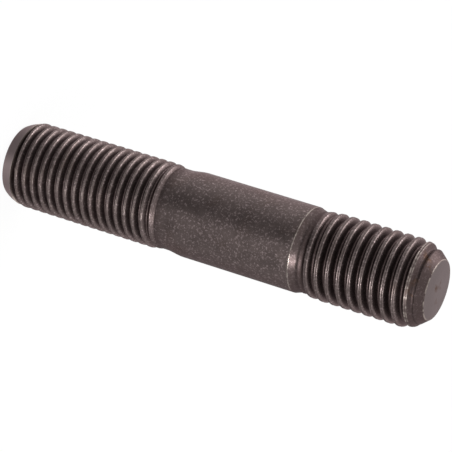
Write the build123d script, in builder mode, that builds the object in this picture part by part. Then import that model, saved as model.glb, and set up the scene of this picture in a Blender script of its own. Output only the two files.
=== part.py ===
"""Double ended stud: one steel bar with a fine thread at one end and a coarse thread at the other.

Both threads are rolled onto a bar of about their pitch diameter, so each one runs out
into a neck of the bar's own size, with crests that drop and a groove that climbs to meet it.
The coarse thread is cut here as a true helix. The fine thread is left as its plain envelope,
over its crests, with the crowned end and the run-out that it has.
The stud stands on the flat end of its fine thread, centred on the origin, with its axis
along +Z. All lengths are in millimetres.
"""

import math
import os

from build123d import *

overall_length = 101.6
major_dia = 19.05  # over the crests of both threads
shank_dia = 18.92  # plain part between the threads

# Fine thread, 12 turns to the inch, at the lower end
fine_length = 39.4  # from the end face to the neck
fine_face_dia = 16.0
fine_end_length = 3.5  # crowned end, up to the full thread
fine_crown = 0.35  # how far the crown's middle stands above a straight chamfer
fine_crest_fade = 2.2
fine_neck_dia = 18.0
fine_neck_width = 1.1
fine_rise = 4.1  # soft rise from the neck to the shank

# Coarse thread, 10 turns to the inch, at the upper end
coarse_pitch = 25.4 / 10
coarse_length = 28.15  # from the end face to the neck
coarse_face_dia = 13.1
coarse_chamfer_dia = 17.5  # where the end chamfer begins
coarse_chamfer_length = 2.65
coarse_taper_length = 2.75  # of the crests, down to the chamfer
coarse_first_fade = 1.75  # steep part of the fading crests, next to the neck
coarse_last_fade = 2.3  # shallow part, up to the full thread
coarse_fade_dia = 18.7  # where the two parts meet
coarse_groove_fade = 4.5
coarse_neck_dia = 17.9
coarse_neck_width = 0.5
coarse_shoulder = 1.4  # cone from the crisp edge of the shank to the neck
coarse_turned = 216.0  # angle about the axis where the groove meets the end plane

# Thread form: flanks at 55 degrees, with a sixth of the sharp triangle off its top
flank_slope = math.tan(math.radians(55 / 2))
groove_depth = 0.6403 * coarse_pitch
groove_width = coarse_pitch * 5 / 6  # at the crests
clear = 0.3  # how far a cutter stands off the metal

major, shank = major_dia / 2, shank_dia / 2
root = major - groove_depth
fine_neck, coarse_neck = fine_neck_dia / 2, coarse_neck_dia / 2

# Heights up the stud, from the fine end to the coarse end
fine_neck_top = fine_length + fine_neck_width
shank_low = fine_neck_top + fine_rise
coarse_neck_top = overall_length - coarse_length
coarse_neck_low = coarse_neck_top - coarse_neck_width
shank_top = coarse_neck_low - coarse_shoulder
fade_middle = coarse_neck_top + coarse_first_fade
fade_top = fade_middle + coarse_last_fade
chamfer_low = overall_length - coarse_chamfer_length
taper_low = chamfer_low - coarse_taper_length

# One turn of the coarse groove
with BuildPart() as turn:
    with BuildLine() as path:
        Helix(coarse_pitch, coarse_pitch, major)
    with BuildSketch(Plane(path.line @ 0, x_dir=(1, 0, 0), z_dir=path.line % 0)):
        mouth = groove_width / 2 + clear * flank_slope
        floor = groove_width / 2 - groove_depth * flank_slope
        with BuildLine():
            Polyline(
                (clear, -mouth),
                (clear, mouth),
                (-groove_depth, floor),
                (-groove_depth, -floor),
                close=True,
            )
        make_face()
    sweep(path=path.line, is_frenet=True)

# Metal that the groove leaves at its run-out, where it climbs a long cone to the neck
with BuildPart() as kept:
    climb = (coarse_neck - root) / coarse_groove_fade
    neck_middle = coarse_neck_top - coarse_neck_width / 2
    kept_top = neck_middle + coarse_groove_fade + clear / climb
    with BuildSketch(Plane.XZ):
        with BuildLine():
            Polyline(
                (0, shank_top - coarse_pitch),
                (major + clear * 2, shank_top - coarse_pitch),
                (major + clear * 2, neck_middle),
                (coarse_neck + clear * climb, neck_middle),
                (root - clear, kept_top),
                (0, kept_top),
                close=True,
            )
        make_face()
    revolve(axis=Axis.Z)

# The groove, turn by turn, from inside the neck out through the end chamfer
first = neck_middle - coarse_pitch
cutters = []
for step in range(math.ceil((overall_length - first) / coarse_pitch)):
    height = first + step * coarse_pitch
    cutter = turn.part.rotate(Axis.Z, coarse_turned + 360 * (first - overall_length) / coarse_pitch)
    cutter = cutter.moved(Location((0, 0, height)))
    if height - coarse_pitch < kept_top:
        cutter = cutter - kept.part
    cutters.extend(cutter.solids())

with BuildPart() as stud:
    # The outline of the stud, over the crests of its threads
    with BuildSketch(Plane.XZ):
        with BuildLine():
            Line((0, 0), (fine_face_dia / 2, 0))
            Spline(
                (fine_face_dia / 2, 0),
                ((fine_face_dia / 2 + major) / 2 + fine_crown / 2, fine_end_length / 2),
                (major, fine_end_length),
            )
            Polyline(
                (major, fine_end_length),
                (major, fine_length - fine_crest_fade),
                (fine_neck, fine_length),
                (fine_neck, fine_neck_top),
            )
            Spline((fine_neck, fine_neck_top), (shank, shank_low), tangents=((0, 1), (0, 1)))
            Polyline(
                (shank, shank_low),
                (shank, shank_top),
                (coarse_neck, coarse_neck_low),
                (coarse_neck, coarse_neck_top),
                (coarse_fade_dia / 2, fade_middle),
                (major, fade_top),
                (major, taper_low),
                (coarse_chamfer_dia / 2, chamfer_low),
                (coarse_face_dia / 2, overall_length),
                (0, overall_length),
                (0, 0),
            )
        make_face()
    revolve(axis=Axis.Z)
    add(cutters, mode=Mode.SUBTRACT)

os.makedirs("parts", exist_ok=True)
stud.part.label = "double_ended_stud"
export_step(stud.part, "parts/stud.step")
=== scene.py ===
"""Looks of a double ended stud: its two rolled threads, its plain shank and its dark oiled finish."""

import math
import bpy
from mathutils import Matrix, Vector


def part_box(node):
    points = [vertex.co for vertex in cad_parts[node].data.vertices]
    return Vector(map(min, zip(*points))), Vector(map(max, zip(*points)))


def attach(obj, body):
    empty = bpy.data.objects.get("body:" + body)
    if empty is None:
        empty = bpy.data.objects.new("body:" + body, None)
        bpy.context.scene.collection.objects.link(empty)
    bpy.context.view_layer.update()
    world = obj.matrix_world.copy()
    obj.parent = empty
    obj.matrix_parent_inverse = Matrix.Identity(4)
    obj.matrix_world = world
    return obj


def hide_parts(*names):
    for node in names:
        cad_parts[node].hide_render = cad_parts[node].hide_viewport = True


bl_info = {
    "name": "Double Ended Stud",
    "version": (1, 0, 0),
    "blender": (4, 5, 0),
    "location": "View3D > Sidebar > Stud",
    "description": "Builds a double ended stud with rolled threads, its finish and a plain stage",
    "category": "Object",
}

import bpy
import numpy as np
from mathutils import Matrix, Vector

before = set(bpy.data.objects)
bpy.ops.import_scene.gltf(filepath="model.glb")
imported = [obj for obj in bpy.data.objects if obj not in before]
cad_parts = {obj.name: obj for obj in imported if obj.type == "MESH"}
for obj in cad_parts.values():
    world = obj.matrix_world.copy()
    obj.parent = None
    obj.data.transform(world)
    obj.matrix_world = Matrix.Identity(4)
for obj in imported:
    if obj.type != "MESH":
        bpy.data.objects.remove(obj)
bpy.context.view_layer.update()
stud_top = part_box("stud")[1].z

MM = 0.001
LEVEL = 1e-5  # rings closer than this in height are one ring
THREAD_DEPTH = 0.6403  # of the pitch, for a 55 degree form with round crests and roots
THREAD_ROUND = 0.1373  # radius at the root, of the pitch
MIDDLE = 57 * MM  # where the two halves of the shank meet
TAPER_LENGTH = 2.75 * MM  # of the last coarse crests, down to the end chamfer
CHAMFER_RADIUS = 8.75 * MM  # where the end chamfer begins
LENGTH = {"unit": "LENGTH", "subtype": "DISTANCE", "precision": 5}


class StudSizes(bpy.types.PropertyGroup):
    """Sizes of the stud."""

    overall_length: bpy.props.FloatProperty(
        name="Overall length", description="From one end face to the other", default=stud_top, **LENGTH
    )
    major_radius: bpy.props.FloatProperty(
        name="Major radius", description="Over the crests of both threads", default=9.525 * MM, **LENGTH
    )
    shank_radius: bpy.props.FloatProperty(
        name="Shank radius", description="Of the plain part", default=9.46 * MM, **LENGTH
    )
    fine_pitch: bpy.props.FloatProperty(
        name="Fine pitch", description="Crest to crest at the lower end", default=25.4 / 12 * MM, **LENGTH
    )
    fine_start: bpy.props.FloatProperty(
        name="Fine start", description="Where the first fine groove begins", default=2.75 * MM, **LENGTH
    )
    fine_neck: bpy.props.FloatProperty(
        name="Fine neck", description="Height where the fine thread has run out", default=39.4 * MM, **LENGTH
    )
    fine_neck_radius: bpy.props.FloatProperty(
        name="Fine neck radius", description="Bar between fine thread and shank", default=9.0 * MM, **LENGTH
    )
    coarse_pitch: bpy.props.FloatProperty(
        name="Coarse pitch", description="Crest to crest at the upper end", default=2.54 * MM, **LENGTH
    )
    coarse_neck: bpy.props.FloatProperty(
        name="Coarse neck", description="Height where the coarse thread begins", default=73.45 * MM, **LENGTH
    )
    coarse_neck_radius: bpy.props.FloatProperty(
        name="Coarse neck radius", description="Bar between shank and coarse thread", default=8.95 * MM,
        **LENGTH
    )
    shoulder: bpy.props.FloatProperty(
        name="Shoulder", description="Height of the crisp upper edge of the shank", default=71.55 * MM,
        **LENGTH
    )
    chamfer_start: bpy.props.FloatProperty(
        name="Chamfer start", description="Height where the end chamfer begins", default=98.95 * MM, **LENGTH
    )
    segments: bpy.props.IntProperty(
        name="Segments", description="Faces round one turn", default=144, min=48, max=256
    )


class StudFinish(bpy.types.PropertyGroup):
    """Colours of the finish."""

    steel: bpy.props.FloatVectorProperty(
        name="Steel", description="Dark brown grey of the finish", subtype="COLOR", size=4,
        default=(0.136, 0.106, 0.102, 1),
    )
    pale: bpy.props.FloatVectorProperty(
        name="Pale steel", description="Mauve grey of the turned ends", subtype="COLOR", size=4,
        default=(0.36, 0.285, 0.285, 1),
    )
    # Painted shade: this brown black is laid into the thread grooves and on the slope under the shoulder
    groove: bpy.props.FloatVectorProperty(
        name="Groove", description="Brown black at the bottom of the threads", subtype="COLOR", size=4,
        default=(0.052, 0.036, 0.035, 1),
    )
    face: bpy.props.FloatVectorProperty(
        name="End face", description="Mauve grey of the flat upper end", subtype="COLOR", size=4,
        default=(0.160, 0.136, 0.134, 1),
    )
    worn: bpy.props.FloatVectorProperty(
        name="Worn edge", description="Bare steel on rubbed edges", subtype="COLOR", size=4,
        default=(0.46, 0.40, 0.36, 1),
    )
    rust: bpy.props.FloatVectorProperty(
        name="Rust", description="Brown marks", subtype="COLOR", size=4, default=(0.075, 0.040, 0.022, 1),
    )


class StageSizes(bpy.types.PropertyGroup):
    """The floor and the light."""

    floor_size: bpy.props.FloatProperty(
        name="Floor size", description="Side of the floor", default=6.0, unit="LENGTH", subtype="DISTANCE"
    )
    world_strength: bpy.props.FloatProperty(
        name="Surround", description="Strength of the soft surround", default=1.0, min=0.0
    )
    key_power: bpy.props.FloatProperty(
        name="Key lamp", description="Power of the low lamp in front", default=0.9, min=0.0, unit="POWER"
    )
    fill_power: bpy.props.FloatProperty(
        name="Fill lamp", description="Power of the wide lamp behind", default=3.0, min=0.0, unit="POWER"
    )


def deselect():
    """Leaves edit mode and deselects everything."""
    if bpy.context.object and bpy.context.object.mode != "OBJECT":
        bpy.ops.object.mode_set(mode="OBJECT")
    bpy.ops.object.select_all(action="DESELECT")


def pick(piece, chosen):
    """Selects the vertices of the piece that pass the test, then opens edit mode on them."""
    deselect()
    piece.select_set(True)
    bpy.context.view_layer.objects.active = piece
    bpy.ops.object.mode_set(mode="EDIT")
    bpy.ops.mesh.select_mode(type="VERT")
    bpy.ops.mesh.select_all(action="DESELECT")
    bpy.ops.object.mode_set(mode="OBJECT")
    for vertex in piece.data.vertices:
        vertex.select = chosen(vertex)
    bpy.ops.object.mode_set(mode="EDIT")


def open_ring(piece, height):
    """The numbers of the vertices on the open edge of the piece at this height."""
    mesh = piece.data
    edge_of_corner = np.empty(len(mesh.loops), dtype=np.int32)
    mesh.loops.foreach_get("edge_index", edge_of_corner)
    ends = np.empty(len(mesh.edges) * 2, dtype=np.int32)
    mesh.edges.foreach_get("vertices", ends)
    faces_on = np.bincount(edge_of_corner, minlength=len(mesh.edges))
    rim = set(ends.reshape(-1, 2)[faces_on == 1].ravel().tolist())
    return {i for i in rim if abs(mesh.vertices[i].co.z - height) < LEVEL}


def crest_form(pitch, major, lip):
    """One pitch of a rolled thread, from groove bottom to groove bottom, as (height, radius).

    The crest keeps the seam that rolling leaves: two rounded lips with a shallow dip between them. lip is half
    the distance between the lips, in millimetres at a pitch of 2.54 mm.
    """
    unit = pitch / 2.54
    depth = THREAD_DEPTH * pitch
    half = [
        (0.00, 0.050), (0.37 * lip, 0.030), (0.74 * lip, 0.004), (lip, 0.0), (lip + 0.07, 0.030),
        (lip + 0.14, 0.110), (lip * 0.6 + 0.40, 0.44), (lip * 0.3 + 0.64, 0.82), (0.88, 1.20),
    ]
    upper = [(h * unit, major - d * unit) for h, d in half]
    turn = THREAD_ROUND * pitch
    for angle in (62.5, 35.0, 0.0):
        a = math.radians(angle)
        upper.append((pitch / 2 - turn * math.sin(a), major - depth + turn * (1 - math.cos(a))))
    lower = [(-h, r) for h, r in reversed(upper[1:])]
    return lower + upper


def rolled_thread(name, pitch, crest, low, high, segments, major, lip):
    """A tube with the thread's form, screwed up the axis and cut off flat at low and high.

    crest is the height of a crest where the helix crosses the +X side.
    """
    deselect()
    form = crest_form(pitch, major, lip)
    turns = math.ceil((high - low) / pitch) + 3
    base = crest - math.ceil((crest - low) / pitch + 1.5) * pitch
    bpy.ops.mesh.primitive_plane_add(size=pitch, location=(0, 0, 0))
    tube = bpy.context.object
    tube.name = tube.data.name = name
    pick(tube, lambda vertex: vertex.co.x < 0 or vertex.co.y < 0)
    bpy.ops.mesh.delete(type="VERT")
    bpy.ops.mesh.select_all(action="SELECT")
    bpy.ops.object.mode_set(mode="OBJECT")
    tube.data.vertices[0].co = (form[0][1], 0, base + form[0][0])
    bpy.ops.object.mode_set(mode="EDIT")
    for (h0, r0), (h1, r1) in zip(form, form[1:]):
        bpy.ops.mesh.extrude_region_move(TRANSFORM_OT_translate={"value": (r1 - r0, 0, h1 - h0)})
    bpy.ops.object.mode_set(mode="OBJECT")
    screw = tube.modifiers.new("Turns", "SCREW")
    screw.angle = math.tau
    screw.screw_offset = pitch
    screw.iterations = turns
    screw.steps = screw.render_steps = segments
    screw.use_normal_calculate = False
    bpy.ops.object.modifier_apply(modifier=screw.name)
    bpy.ops.object.mode_set(mode="EDIT")
    bpy.ops.mesh.select_all(action="SELECT")
    bpy.ops.mesh.remove_doubles(threshold=2e-7)
    for height, above in ((low, False), (high, True)):
        bpy.ops.mesh.select_all(action="SELECT")
        bpy.ops.mesh.bisect(
            plane_co=(0, 0, height), plane_no=(0, 0, 1), clear_inner=not above, clear_outer=above,
            threshold=1e-6,
        )
    bpy.ops.object.mode_set(mode="OBJECT")
    return tube


def reshape(piece, radius_at):
    """Draws each vertex of the piece in or out to radius_at(radius, height)."""
    count = len(piece.data.vertices)
    co = np.empty(count * 3)
    piece.data.vertices.foreach_get("co", co)
    co = co.reshape(-1, 3)
    radius = np.hypot(co[:, 0], co[:, 1])
    co[:, :2] *= (radius_at(radius, co[:, 2]) / radius)[:, None]
    piece.data.vertices.foreach_set("co", co.ravel())
    piece.data.update()


def keep_columns(piece, height, segments):
    """Leaves one point per column of the turns on the open ring at this height."""
    ring = open_ring(piece, height)

    def stray(vertex):
        column = math.atan2(vertex.co.y, vertex.co.x) * segments / math.tau
        return vertex.index in ring and abs(column - round(column)) > 0.02

    pick(piece, stray)
    bpy.ops.mesh.dissolve_verts()
    bpy.ops.object.mode_set(mode="OBJECT")
    ring = open_ring(piece, height)
    pick(piece, lambda vertex: vertex.index in ring)
    bpy.ops.mesh.remove_doubles(threshold=2e-5)
    bpy.ops.object.mode_set(mode="OBJECT")


def draw_out(piece, start, outline, capped=False):
    """Extrudes the open ring at start along the outline of (radius, height) points, and caps its end."""
    ring = open_ring(piece, start[1])
    pick(piece, lambda vertex: vertex.index in ring)
    for (r0, h0), (r1, h1) in zip([start] + outline, outline):
        bpy.ops.mesh.extrude_region_move(TRANSFORM_OT_translate={"value": (0, 0, h1 - h0)})
        bpy.ops.transform.resize(value=(r1 / r0, r1 / r0, 1), center_override=(0, 0, 0))
    if capped:
        bpy.ops.mesh.edge_face_add()
    bpy.ops.object.mode_set(mode="OBJECT")


def check_closed(piece):
    """Raises an error if the piece has an open or doubled edge."""
    pick(piece, lambda vertex: False)
    bpy.ops.mesh.select_non_manifold()
    bpy.ops.object.mode_set(mode="OBJECT")
    loose = sum(vertex.select for vertex in piece.data.vertices)
    if loose:
        raise RuntimeError(f"{piece.name} is open at {loose} points")


class STUD_OT_stud(bpy.types.Operator):
    """Build the stud: both rolled threads, the necks, the plain shank and the flat ends"""

    bl_idname = "stud.build"
    bl_label = "Stud"

    def execute(self, context):
        s = context.scene.stud_sizes
        R, shank = s.major_radius, s.shank_radius
        top = s.overall_length

        # Fine thread, with its groove starting all at once and running out into the neck
        fine_root = R - THREAD_DEPTH * s.fine_pitch
        first_crest, lip = 3.63 * MM, 0.19
        fine = rolled_thread(
            "stud_finished", s.fine_pitch, first_crest + s.fine_pitch / 2, s.fine_start, s.fine_neck,
            s.segments, R, lip,
        )
        crown = 9.27 * MM

        def fine_form(r, z):
            high = np.interp(z, [s.fine_start, 3.5 * MM, s.fine_neck - 2.4 * MM, s.fine_neck],
                             [crown, R, R, s.fine_neck_radius])
            low = np.interp(z, [s.fine_neck - 4.2 * MM, s.fine_neck], [fine_root, s.fine_neck_radius])
            start = np.interp(z, [s.fine_start, s.fine_start + 0.5 * MM], [crown, fine_root])
            share = (r - fine_root) / (R - fine_root)
            return np.maximum(low + share * (high - low), start)

        reshape(fine, fine_form)
        draw_out(fine, (crown, s.fine_start), [
            (9.10 * MM, 2.30 * MM), (8.86 * MM, 1.60 * MM), (8.55 * MM, 0.92 * MM), (8.25 * MM, 0.40 * MM),
            (8.08 * MM, 0.12 * MM), (7.98 * MM, 0.03 * MM), (7.86 * MM, 0.0),
        ], capped=True)
        rise = []
        for step in range(9):
            t = step / 8
            ease = t * t * (3 - 2 * t)
            rise.append((s.fine_neck_radius + (shank - s.fine_neck_radius) * ease,
                         s.fine_neck + (1.1 + 4.1 * t) * MM))
        draw_out(fine, (s.fine_neck_radius, s.fine_neck), rise + [
            (shank, 48 * MM), (shank, 52 * MM), (shank, MIDDLE),
        ])

        # Coarse thread, from its neck out through the end chamfer
        coarse_root = R - THREAD_DEPTH * s.coarse_pitch
        face_radius = 6.55 * MM
        slope = (CHAMFER_RADIUS - face_radius) / (top - s.chamfer_start)
        ring = s.chamfer_start + 1.12 * MM
        ring_radius = CHAMFER_RADIUS - slope * (ring - s.chamfer_start)
        first_crest, lip = 77.174 * MM, 0.27
        coarse = rolled_thread(
            "coarse", s.coarse_pitch, first_crest + s.coarse_pitch / 2, s.coarse_neck, ring,
            s.segments, R, lip,
        )

        def coarse_form(r, z):
            neck = s.coarse_neck_radius
            heights = [s.coarse_neck, s.coarse_neck + 1.75 * MM, s.coarse_neck + 4.05 * MM,
                       s.chamfer_start - TAPER_LENGTH, s.chamfer_start, ring]
            high = np.interp(z, heights, [neck, 9.35 * MM, R, R, CHAMFER_RADIUS, ring_radius])
            low = np.interp(z, [s.coarse_neck, s.coarse_neck + 4.6 * MM], [neck, coarse_root])
            share = (r - coarse_root) / (R - coarse_root)
            return np.where(z > ring - 0.25 * MM, np.minimum(r, high), low + share * (high - low))

        reshape(coarse, coarse_form)
        draw_out(coarse, (s.coarse_neck_radius, s.coarse_neck), [
            (s.coarse_neck_radius, 73.2 * MM), (s.coarse_neck_radius + 0.02 * MM, 72.95 * MM),
            (9.12 * MM, 72.55 * MM), (9.16 * MM, 72.38 * MM), (9.38 * MM, 71.75 * MM),
            (9.42 * MM, 71.66 * MM), (9.45 * MM, s.shoulder), (shank, s.shoulder - 0.12 * MM),
            (shank, 68 * MM), (shank, 64 * MM),
            (shank, MIDDLE),
        ])
        draw_out(coarse, (ring_radius, ring), [
            (7.35 * MM, top - (7.35 * MM - face_radius) / slope),
            (6.68 * MM, top - 0.16 * MM), (6.60 * MM, top - 0.07 * MM), (6.52 * MM, top - 0.02 * MM),
            (6.44 * MM, top),
        ], capped=True)

        # One bar: the two halves meet in the middle of the shank and are merged there
        keep_columns(fine, MIDDLE, s.segments)
        keep_columns(coarse, MIDDLE, s.segments)
        deselect()
        coarse.select_set(True)
        fine.select_set(True)
        context.view_layer.objects.active = fine
        bpy.ops.object.join()
        pick(fine, lambda vertex: abs(vertex.co.z - MIDDLE) < LEVEL)
        bpy.ops.mesh.remove_doubles(threshold=3e-5)
        bpy.ops.mesh.select_all(action="SELECT")
        bpy.ops.mesh.remove_doubles(threshold=1e-6)
        bpy.ops.mesh.normals_make_consistent(inside=False)
        bpy.ops.object.mode_set(mode="OBJECT")
        check_closed(fine)
        bpy.ops.object.shade_smooth_by_angle(angle=math.radians(42))
        fine.data.materials.clear()
        fine.data.materials.append(black_steel(context.scene.stud_finish, s))
        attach(fine, "root")
        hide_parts("stud")
        return {"FINISHED"}


class Nodes:
    """Short ways of adding and joining the nodes of a material."""

    def __init__(self, tree):
        self.tree = tree
        self.tree.nodes.clear()

    def add(self, kind, **values):
        node = self.tree.nodes.new(kind)
        for key, value in values.items():
            setattr(node, key, value)
        return node

    def put(self, socket, value):
        if isinstance(value, bpy.types.NodeSocket):
            self.tree.links.new(value, socket)
        else:
            socket.default_value = value

    def math(self, operation, a, b=0.0, clamp=False):
        node = self.add("ShaderNodeMath", operation=operation, use_clamp=clamp)
        self.put(node.inputs[0], a)
        self.put(node.inputs[1], b)
        return node.outputs[0]

    def band(self, value, low, high, to_low=0.0, to_high=1.0):
        node = self.add("ShaderNodeMapRange", interpolation_type="SMOOTHSTEP")
        for name, given in zip(("Value", "From Min", "From Max", "To Min", "To Max"),
                               (value, low, high, to_low, to_high)):
            self.put(node.inputs[name], given)
        return node.outputs["Result"]

    def mix(self, factor, a, b):
        node = self.add("ShaderNodeMix", data_type="RGBA")
        self.put(node.inputs[0], factor)
        self.put(node.inputs[6], a)
        self.put(node.inputs[7], b)
        return node.outputs[2]

    def noise(self, vector, scale, detail=3.0, rough=0.55):
        node = self.add("ShaderNodeTexNoise")
        self.put(node.inputs["Vector"], vector)
        self.put(node.inputs["Scale"], scale)
        self.put(node.inputs["Detail"], detail)
        self.put(node.inputs["Roughness"], rough)
        return node.outputs["Fac"]

    def stretch(self, vector, scale):
        node = self.add("ShaderNodeMapping")
        self.put(node.inputs["Vector"], vector)
        self.put(node.inputs["Scale"], scale)
        return node.outputs["Vector"]


def black_steel(finish, s):
    """Dark oxide over rolled steel: mottled, with painted shade that makes it browner and darker in the
    grooves and under the shoulder, bare on rubbed edges.
    """
    material = bpy.data.materials.new("black_steel")
    material.use_nodes = True
    n = Nodes(material.node_tree)
    place = n.add("ShaderNodeTexCoord").outputs["Object"]
    parts = n.add("ShaderNodeSeparateXYZ")
    n.put(parts.inputs[0], place)
    x, y, z = parts.outputs
    radius = n.math("SQRT", n.math("ADD", n.math("MULTIPLY", x, x), n.math("MULTIPLY", y, y)))

    mottle = n.noise(place, 420.0, 4.0, 0.6)
    speck = n.noise(place, 2200.0, 3.0, 0.7)
    patch = n.noise(place, 130.0, 3.0, 0.5)
    breaks = n.noise(place, 900.0, 2.0, 0.6)

    # Which part of the stud a point is on
    threads = n.math("ADD", n.band(z, 41.5 * MM, 39.5 * MM), n.band(z, 72.9 * MM, 73.6 * MM), clamp=True)
    below = n.math("MULTIPLY", threads, n.band(radius, 9.40 * MM, 8.75 * MM))
    fine_end = n.band(z, 2.95 * MM, 2.75 * MM)
    coarse_side = 60 * MM, 61 * MM
    coarse_chamfer = n.math("MULTIPLY", n.band(z, 97.8 * MM, 99.4 * MM), n.band(radius, 9.2 * MM, 8.9 * MM))
    end_face = n.band(z, s.overall_length - 0.02 * MM, s.overall_length - 0.005 * MM)

    def shade(paint, share):
        return [part * share for part in paint[:3]] + [1]

    colour = n.mix(n.band(mottle, 0.30, 0.72), shade(finish.steel, 0.92), shade(finish.steel, 1.08))
    colour = n.mix(n.math("MULTIPLY", n.band(speck, 0.52, 0.66), 0.85), colour, finish.pale)
    colour = n.mix(n.math("MULTIPLY", n.band(patch, 0.52, 0.70), 0.18), colour, finish.rust)
    # Painted shade in the thread grooves, deeper on the coarse side
    dark = n.math("MULTIPLY", below, n.band(z, *coarse_side, 0.62, 0.80))
    colour = n.mix(dark, colour, finish.groove)
    # Painted shade: the groove colour half laid on the turned slope and neck between the shoulder and the
    # coarse thread
    painted_cone_shade = n.math("MULTIPLY", n.band(z, s.shoulder, s.shoulder + 0.15 * MM), n.band(z, 74.2 * MM, 73.0 * MM))
    colour = n.mix(n.math("MULTIPLY", painted_cone_shade, 0.55), colour, finish.groove)
    colour = n.mix(fine_end, colour, finish.pale)
    smudged = n.mix(n.band(patch, 0.3, 0.7), shade(finish.face, 0.94), shade(finish.face, 1.06))
    colour = n.mix(end_face, colour, smudged)

    # Rust marks on the end chamfer
    marks = n.math("MULTIPLY", coarse_chamfer, n.band(n.noise(place, 260.0, 3.0, 0.6), 0.55, 0.68))
    colour = n.mix(n.math("MULTIPLY", marks, 0.8), colour, finish.rust)

    # Edges that rubbed bare: the lips of the crests, the shoulder, the rims of both ends
    def edge(value, centre, reach):
        return n.band(n.math("ABSOLUTE", n.math("SUBTRACT", value, centre)), reach, reach * 0.35)

    lips = n.math("MULTIPLY", n.math("MULTIPLY", threads, n.band(radius, 9.50 * MM, 9.523 * MM)),
                  n.band(breaks, 0.40, 0.62))
    lips = n.math("MULTIPLY", lips, n.band(z, *coarse_side, 0.40, 0.20))
    shoulder = n.math("MULTIPLY", edge(z, s.shoulder - 0.02 * MM, 0.16 * MM), n.band(breaks, 0.30, 0.55))
    rim = n.math("MULTIPLY", edge(z, s.overall_length - 0.06 * MM, 0.13 * MM),
                 n.math("MULTIPLY", n.band(breaks, 0.34, 0.6), n.band(radius, 6.38 * MM, 6.46 * MM)))
    start = n.math("MULTIPLY", edge(z, s.fine_start, 0.20 * MM), n.band(breaks, 0.2, 0.6, 0.4, 0.9))
    taper = n.add("ShaderNodeMapRange")
    for name, given in zip(("Value", "From Min", "From Max", "To Min", "To Max"),
                           (z, s.chamfer_start - TAPER_LENGTH, s.chamfer_start, s.major_radius,
                            CHAMFER_RADIUS)):
        n.put(taper.inputs[name], given)
    drop = n.math("SUBTRACT", taper.outputs["Result"], radius)
    tips = n.math("MULTIPLY", n.band(drop, 0.035 * MM, 0.012 * MM), n.band(z, 96.3 * MM, 96.8 * MM))
    last = n.math("MULTIPLY", tips, n.math("MULTIPLY", n.band(z, 99.0 * MM, 98.8 * MM),
                                           n.band(breaks, 0.42, 0.62, 0.1, 0.6)))
    worn = n.math("ADD", n.math("ADD", lips, n.math("MULTIPLY", shoulder, 0.8)),
                  n.math("ADD", n.math("MULTIPLY", rim, 0.55), n.math("ADD", start, last)), clamp=True)
    colour = n.mix(worn, colour, finish.worn)

    roughness = n.band(mottle, 0.3, 0.7, 0.32, 0.38)
    roughness = n.math("SUBTRACT", roughness, n.math("MULTIPLY", worn, 0.10))
    roughness = n.math("ADD", roughness, n.math("MULTIPLY", below, 0.12))

    # Fine grain on all but the flat face, and light streaks along the axis on the crowned end
    streaks = n.noise(n.stretch(place, (1.0, 1.0, 0.08)), 2200.0, 2.0, 0.6)
    grain = n.math("ADD", n.math("MULTIPLY", speck, 0.7), n.math("MULTIPLY", mottle, 0.5))
    grain = n.math("ADD", grain, n.math("MULTIPLY", n.math("MULTIPLY", streaks, fine_end), 0.8))
    bump = n.add("ShaderNodeBump")
    n.put(bump.inputs["Strength"], n.math("SUBTRACT", 0.55, n.math("MULTIPLY", end_face, 0.50)))
    bump.inputs["Distance"].default_value = 0.00003
    n.put(bump.inputs["Height"], grain)

    shader = n.add("ShaderNodeBsdfPrincipled")
    n.put(shader.inputs["Base Color"], colour)
    n.put(shader.inputs["Roughness"], roughness)
    shader.inputs["Metallic"].default_value = 1.0
    shader.inputs["Specular Tint"].default_value = (0.80, 0.70, 0.71, 1)
    n.put(shader.inputs["Normal"], bump.outputs["Normal"])
    out = n.add("ShaderNodeOutputMaterial")
    n.put(out.inputs["Surface"], shader.outputs[0])
    return material


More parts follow.
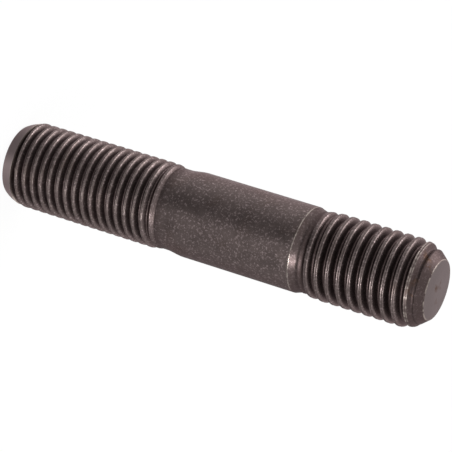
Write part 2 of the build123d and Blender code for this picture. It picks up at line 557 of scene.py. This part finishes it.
def floor_paint():
    """Pale floor with the stud's soft shadow: white to the eye, and toned by direction in the metal.

    The metal mirrors the floor, and the floor glows for glossy rays with these tones: a painted reflection of
    light and shade by direction, standing for the dark and light cards of a studio.
    """
    material = bpy.data.materials.new("pale_floor")
    material.use_nodes = True
    n = Nodes(material.node_tree)
    path = n.add("ShaderNodeLightPath")
    diffuse = n.add("ShaderNodeBsdfDiffuse")
    diffuse.inputs["Color"].default_value = (0.86, 0.86, 0.86, 1)
    place = n.add("ShaderNodeTexCoord").outputs["Object"]
    turn = n.add("ShaderNodeTexGradient", gradient_type="RADIAL")
    n.put(turn.inputs["Vector"], place)
    ramp = n.add("ShaderNodeValToRGB")
    n.put(ramp.inputs["Fac"], turn.outputs["Fac"])
    # Painted reflection: light and shade in the metal by direction round the stud, as a share of a turn that
    # starts at -X and runs by -Y
    tones = [(0.00, 0.90), (0.056, 0.63), (0.111, 0.40), (0.167, 0.28), (0.222, 0.27), (0.262, 0.50),
             (0.285, 0.68), (0.333, 0.58), (0.389, 0.45), (0.444, 0.57), (0.50, 0.65), (0.556, 0.56),
             (0.611, 0.50), (0.667, 0.38), (0.722, 0.34), (0.775, 0.48), (0.833, 1.0), (0.945, 1.0),
             (1.00, 0.90)]
    while len(ramp.color_ramp.elements) < len(tones):
        ramp.color_ramp.elements.new(0.5)
    for element, (at, tone) in zip(ramp.color_ramp.elements, tones):
        element.position = at
        element.color = (tone, tone, tone, 1)
    # The floor glows with the painted tones for glossy and transmission rays only, though it is no lamp
    painted_reflection = n.add("ShaderNodeEmission")
    white = n.add("ShaderNodeEmission")
    white.inputs["Color"].default_value = (1, 1, 1, 1)
    n.put(painted_reflection.inputs["Color"], ramp.outputs["Color"])
    seen = n.add("ShaderNodeMixShader")
    white_share = 0.93
    n.put(seen.inputs[0], n.math("MULTIPLY", path.outputs["Is Camera Ray"], white_share))
    n.put(seen.inputs[1], diffuse.outputs[0])
    n.put(seen.inputs[2], white.outputs[0])
    both = n.add("ShaderNodeMixShader")
    mirrored = n.math("MAXIMUM", path.outputs["Is Glossy Ray"], path.outputs["Is Transmission Ray"])
    n.put(both.inputs[0], mirrored)
    n.put(both.inputs[1], seen.outputs[0])
    n.put(both.inputs[2], painted_reflection.outputs[0])
    out = n.add("ShaderNodeOutputMaterial")
    n.put(out.inputs["Surface"], both.outputs[0])
    return material


def lamp(name, place, aim, size, power):
    """A soft square lamp that the camera doesn't see."""
    bpy.ops.object.light_add(type="AREA", location=place)
    light = bpy.context.object
    light.name = light.data.name = name
    light.data.size = size
    light.data.energy = power
    light.rotation_euler = (Vector(aim) - Vector(place)).to_track_quat("-Z", "Y").to_euler()
    light.visible_camera = False


class STUD_OT_stage(bpy.types.Operator):
    """Set the pale floor, the soft surround, the lamps and the camera"""

    bl_idname = "stud.stage"
    bl_label = "Stage"

    def execute(self, context):
        stage = context.scene.stud_stage
        deselect()
        bpy.ops.mesh.primitive_plane_add(size=stage.floor_size, location=(0, 0, 0))
        floor = context.object
        floor.name = floor.data.name = "floor"
        floor.data.materials.append(floor_paint())

        world = bpy.data.worlds.new("surround")
        context.scene.world = world
        world.use_nodes = True
        n = Nodes(world.node_tree)
        path = n.add("ShaderNodeLightPath")
        seen = n.math("MAXIMUM", path.outputs["Is Camera Ray"],
                      n.math("MAXIMUM", path.outputs["Is Glossy Ray"], path.outputs["Is Transmission Ray"]))
        strength = n.math("ADD", n.math("MULTIPLY", seen, 1.0 - stage.world_strength), stage.world_strength)
        sky = n.add("ShaderNodeBackground")
        sky.inputs["Color"].default_value = (1, 1, 1, 1)
        n.put(sky.inputs["Strength"], strength)
        out = n.add("ShaderNodeOutputWorld")
        n.put(out.inputs["Surface"], sky.outputs[0])

        lamp("key_lamp", (0.30, -0.36, 0.16), (0, 0, 0.05), 0.16, stage.key_power)
        lamp("fill_lamp", (-0.55, 0.25, 0.45), (0, 0, 0.05), 0.5, stage.fill_power)

        # The camera looks down on the coarse end, and is rolled so that the stud lies across the view
        tilt, roll = math.radians(23.3946), math.radians(107.3126)
        aim, distance, offset, lens = 51.8046 * MM, 557.996 * MM, 0.3273 * MM, 207.307
        away = Vector((0, math.cos(tilt), -math.sin(tilt)))
        level, up = Vector((1, 0, 0)), Vector((0, math.sin(tilt), math.cos(tilt)))
        right = level * math.cos(roll) + up * math.sin(roll)
        over = up * math.cos(roll) - level * math.sin(roll)
        place = Vector((0, 0, aim)) - over * offset - away * distance
        camera_data = bpy.data.cameras.new("camera")
        camera = bpy.data.objects.new("camera", camera_data)
        context.scene.collection.objects.link(camera)
        turned = Matrix((right, over, -away)).transposed().to_4x4()
        camera.matrix_world = Matrix.Translation(place) @ turned
        camera_data.sensor_width = 36
        camera_data.lens = lens
        camera_data.clip_start = 0.01
        context.scene.camera = camera
        context.scene.view_settings.view_transform = "Standard"
        return {"FINISHED"}


class STUD_PT_panel(bpy.types.Panel):
    """Lists the stud's sizes, its finish and its stage"""

    bl_idname = "STUD_PT_panel"
    bl_label = "Double Ended Stud"
    bl_space_type = "VIEW_3D"
    bl_region_type = "UI"
    bl_category = "Stud"

    def draw(self, context):
        for group in (context.scene.stud_sizes, context.scene.stud_finish, context.scene.stud_stage):
            box = self.layout.box()
            for name in group.__annotations__:
                box.prop(group, name)
        self.layout.operator(STUD_OT_stud.bl_idname)
        self.layout.operator(STUD_OT_stage.bl_idname)


CLASSES = (StudSizes, StudFinish, StageSizes, STUD_OT_stud, STUD_OT_stage, STUD_PT_panel)


def register():
    for cls in CLASSES:
        bpy.utils.register_class(cls)
    bpy.types.Scene.stud_sizes = bpy.props.PointerProperty(type=StudSizes)
    bpy.types.Scene.stud_finish = bpy.props.PointerProperty(type=StudFinish)
    bpy.types.Scene.stud_stage = bpy.props.PointerProperty(type=StageSizes)


def unregister():
    del bpy.types.Scene.stud_stage
    del bpy.types.Scene.stud_finish
    del bpy.types.Scene.stud_sizes
    for cls in reversed(CLASSES):
        bpy.utils.unregister_class(cls)


def main():
    register()
    bpy.ops.stud.build()
    bpy.ops.stud.stage()


if __name__ == "__main__":
    main()
